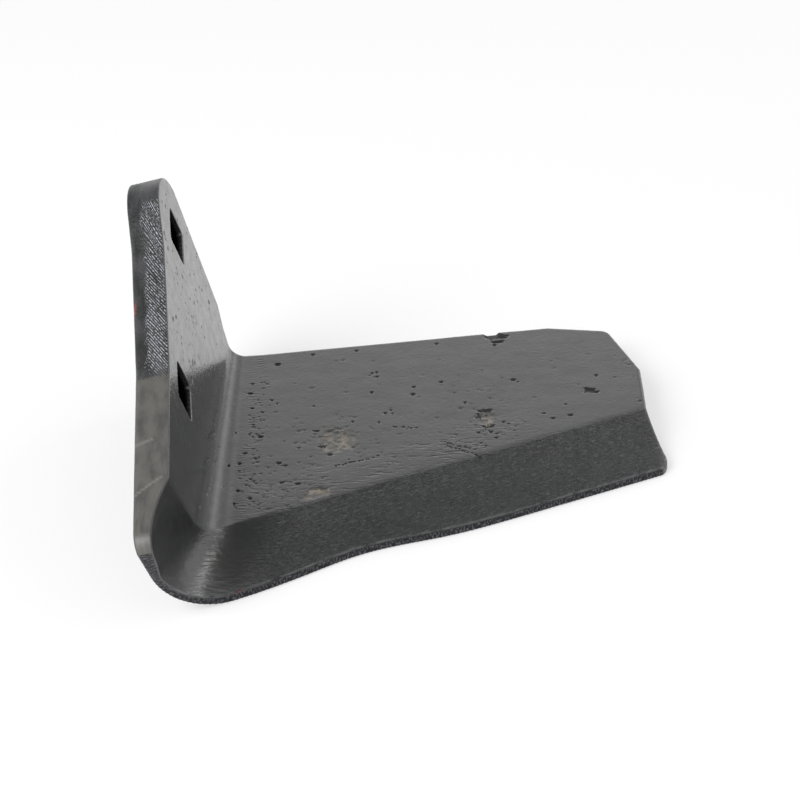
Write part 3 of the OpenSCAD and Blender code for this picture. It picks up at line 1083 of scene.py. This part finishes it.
# %% Colour of the cut edges
cut_grey, crest_grey = (0.05, 0.05, 0.055), (0.47, 0.49, 0.54)
film_light, film_dark = (0.106, 0.1, 0.09), (0.04, 0.04, 0.04)
cut_patches = total(product(edge_speckle(12, 5), 0.7), product(edge_speckle(0.7, 0.9), 0.3))
colour = blend(product(trait("cut"), ramp(cut_patches, 0.4, 0.65)), colour, cut_grey)
film = blend(ramp(edge_speckle(7, 3.2, 8), 0.2, 0.66), film_dark, film_light)
film_streaks = product(math_of("SUBTRACT", edge_speckle(14, 0.9), 0.5), 0.9)
film_share = ramp(total(trait("film"), film_streaks), 0.4, 0.65)
colour = blend(film_share, colour, film)
scratch_grey, primer_red = (0.21, 0.2, 0.185), (0.27, 0.045, 0.035)
colour = blend(product(trait("scratch"), 0.8), colour, scratch_grey)
crest_share = product(ramp(trait("drag"), 0.5, 0.95), ramp(edge_speckle(0.8, 0.8), 0.4, 0.54))
colour = blend(crest_share, colour, crest_grey)
stroke_dark, stroke_grey, lip_highlight_grey = (0.02, 0.02, 0.023), (0.11, 0.11, 0.118), (0.075, 0.076, 0.079)
strokes = blend(ramp(edge_speckle(0.42, 6), 0.46, 0.66), stroke_dark, stroke_grey)
colour = blend(trait("blunt"), colour, strokes)
# The pale grey along the lip of the cutting edge is a painted highlight, standing in for the light its
# rounding would catch.
lip_highlight_share = product(trait("lip"), ramp(edge_speckle(5, 5, 4), 0.36, 0.56))
colour = blend(lip_highlight_share, colour, lip_highlight_grey)
red_share = product(ramp(trait("red"), 0.2, 0.8), ramp(speckle(0.8), 0.35, 0.55))
colour = blend(red_share, colour, primer_red)
# Pits and the walls of the bolt holes are painted near black: painted shade in these hollows.
colour = blend(ramp(math_of("MAXIMUM", trait("pit"), trait("bore")), 0.35, 1.0), colour, pit_shade_black)
tree.links.new(colour, shader.inputs["Base Color"])
print("Edges, film, drag lines and strokes set on", enamel.name)

# %% Gloss and fine bumps
gloss_low, gloss_high, dull_more, cut_dull = 0.13, 0.24, 0.3, 0.6
ground_share, shine, bump_depth = 0.95, 0.85, 0.06 * MM
gloss = ramp(speckle(3.5, 4), 0.3, 0.7, gloss_low, gloss_high)
dull = math_of("MAXIMUM", worn_share, math_of("MAXIMUM", film_share, trait("pit")))
dull = math_of("MAXIMUM", dull, product(trait("cut"), cut_dull))
tree.links.new(total(gloss, product(dull, dull_more)), shader.inputs["Roughness"])
# Full metallic on the near-black colour makes the bolt-hole walls reflect almost nothing, which is
# painted shade; the ground cutting edge is real bare metal.
bare_metal_and_bore_shade = math_of("MAXIMUM", trait("bore"), product(trait("blunt"), ground_share))
tree.links.new(bare_metal_and_bore_shade, shader.inputs["Metallic"])
shader.inputs["Specular IOR Level"].default_value = shine

skin_grain = speckle(0.9, 4, 0.6, (0.8, 1, 1))
scale_marks = product(ramp(speckle(1.7, 3, 0.5, (0.7, 1, 1)), 0.26, 0.42), 0.35)
scaly_marks = product(trait("scaly"), ramp(speckle(1.3, 3, 0.5, (0.35, 1, 1)), 0.3, 0.5), 1.6)
bevel_grain = product(trait("bevel"), edge_speckle(1.6, 0.55, 3), 10)
fine_ridges = product(trait("ridge"), edge_speckle(5, 0.7, measure="level"), 2.4)
scratches = product(trait("bevel"), edge_speckle(12, 0.5), 4)
edge_grain = product(math_of("MAXIMUM", trait("cut"), trait("blunt")), edge_speckle(0.6, 2.5), 1.5)
bumps = total(skin_grain, scale_marks, scaly_marks, bevel_grain, fine_ridges, scratches, edge_grain)
bump = add("ShaderNodeBump", Strength=1.0, Height=bumps)
bump.inputs["Distance"].default_value = bump_depth
tree.links.new(bump.outputs[0], shader.inputs["Normal"])
skin_data.materials.append(enamel)
print("Gloss from", gloss_low, "to", gloss_high)

# %% The skin takes the place of the solid
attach(skin, "root")
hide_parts("wing_share")
print("Skin rides on root and stands for wing_share")

# %% [markdown]
# ## Floor and light
# Black enamel shows its surroundings more than itself, so the room does the work. It is a white
# room, brightest near the floor, dimmer overhead and a little lighter on the right. Two shaded corners
# behind the part keep its lower flange dark. A soft lamp stands in front on the left, and a small one
# behind on the right draws the bright streak down the nose. The floor is white to the camera and to
# reflections, and it still takes the soft shadow.

# %% Floor
floor_reach = 6.0
floor_data = bpy.data.meshes.new("floor")
corner_signs = ((-1, -1), (1, -1), (1, 1), (-1, 1))
floor_corners = [(floor_reach * a, floor_reach * b, 0) for a, b in corner_signs]
floor_data.from_pydata(floor_corners, [], [(0, 1, 2, 3)])
floor = bpy.data.objects.new("floor", floor_data)
bpy.context.scene.collection.objects.link(floor)
floor_paint = bpy.data.materials.new("floor_white")
floor_paint.use_nodes = True
# From here on the node helpers add to the floor's own nodes.
tree = floor_paint.node_tree
tree.nodes.remove(tree.nodes["Principled BSDF"])
rays = add("ShaderNodeLightPath").outputs
lit_share, camera_glow, mirror_glow = 0.5, 0.53, 0.62
lit = add("ShaderNodeBsdfDiffuse", Color=(lit_share, lit_share, lit_share, 1))
mirrored = math_of("MAXIMUM", rays["Is Glossy Ray"], rays["Is Transmission Ray"])
seen = total(product(rays["Is Camera Ray"], camera_glow), product(mirrored, mirror_glow))
glow = add("ShaderNodeEmission", Strength=seen)
both = add("ShaderNodeAddShader", i0=lit.outputs[0], i1=glow.outputs[0])
tree.links.new(both.outputs[0], tree.nodes["Material Output"].inputs["Surface"])
floor_data.materials.append(floor_paint)
print("Floor reaches", floor_reach, "m each way")

# %% Room
def way_to(turn, rise):
    """The direction so many degrees round from straight back, and so many degrees up."""
    turn, rise = math.radians(turn), math.radians(rise)
    return math.sin(turn) * math.cos(rise), math.cos(turn) * math.cos(rise), math.sin(rise)


def cosine(degrees):
    return math.cos(math.radians(degrees))


room = bpy.data.worlds.new("white_room")
bpy.context.scene.world = room
room.use_nodes = True
tree = room.node_tree
toward = add("ShaderNodeTexCoord").outputs["Generated"]
parts = add("ShaderNodeSeparateXYZ", i0=toward).outputs
levels = add("ShaderNodeValToRGB", i0=parts["Z"])
# Height of the direction, from level to straight up, and the brightness there.
room_levels = [(0.0, 1.15), (0.22, 1.2), (0.46, 1.05), (0.70, 0.42), (1.0, 0.26)]
stops = levels.color_ramp.elements
while len(stops) < len(room_levels):
    stops.new(0.5)
for stop, (place, bright) in zip(stops, room_levels):
    stop.position = place
    stop.color = (bright, bright, bright, 1)
left_level, right_level, side_reach = 0.88, 1.13, 0.3
level = ramp(parts["X"], -side_reach, side_reach, left_level, right_level)
# The shaded corners: how far round and up each is, its half width and its level.
shaded_corners = [(36, 0, 16, 0.35), (15, 21, 11, 0.55)]
corner_core = 0.42
for turn, rise, wide, dim in shaded_corners:
    angle = add("ShaderNodeVectorMath", {"operation": "DOT_PRODUCT"}, i0=toward, i1=way_to(turn, rise))
    nearness = angle.outputs["Value"]
    level = product(level, ramp(nearness, cosine(wide), cosine(wide * corner_core), 1, dim))
to_camera = add("ShaderNodeLightPath").outputs["Is Camera Ray"]
seen = blend(to_camera, levels.outputs[0], (1, 1, 1))
unseen = math_of("SUBTRACT", 1, to_camera)
tree.links.new(seen, tree.nodes["Background"].inputs["Color"])
tree.links.new(total(to_camera, product(unseen, level)), tree.nodes["Background"].inputs["Strength"])
print("Room levels:", room_levels)

# %% Lamps
def add_lamp(name, place, size, energy):
    """A round soft lamp that points at the origin."""
    data = bpy.data.lights.new(name, "AREA")
    data.shape = "DISK"
    data.size = size
    data.energy = energy
    lamp = bpy.data.objects.new(name, data)
    bpy.context.scene.collection.objects.link(lamp)
    lamp.location = place
    lamp.rotation_euler = (-lamp.location).to_track_quat("-Z", "Y").to_euler()
    print(name, "of", energy, "W at", place)


add_lamp("front_lamp", (-0.75, -0.85, 1.0), 0.9, 14)
add_lamp("side_lamp", (0.69, 0.6, 0.6), 0.2, 0.6)

# %% [markdown]
# ## Camera
# The view is from the front, about 27 degrees above the floor, through a long lens, with the camera
# leaning a little to one side.

# %% Camera
camera_at = Vector((0.018991, -0.658802, 0.360293))
camera_aim = Vector((-0.01223, -0.024004, 0.029907))
camera_roll = math.radians(-4.86)
camera_data = bpy.data.cameras.new("camera")
camera_data.lens = 112.5
camera_data.sensor_width = 36
camera = bpy.data.objects.new("camera", camera_data)
bpy.context.scene.collection.objects.link(camera)
aim = (camera_aim - camera_at).to_track_quat("-Z", "Y").to_matrix()
camera_turn = aim @ Matrix.Rotation(camera_roll, 3, "Z")
camera.matrix_world = Matrix.Translation(camera_at) @ camera_turn.to_4x4()
bpy.context.scene.camera = camera
bpy.context.scene.view_settings.view_transform = "Standard"
print("Camera stands", round((camera_aim - camera_at).length, 3), "m from its aim")
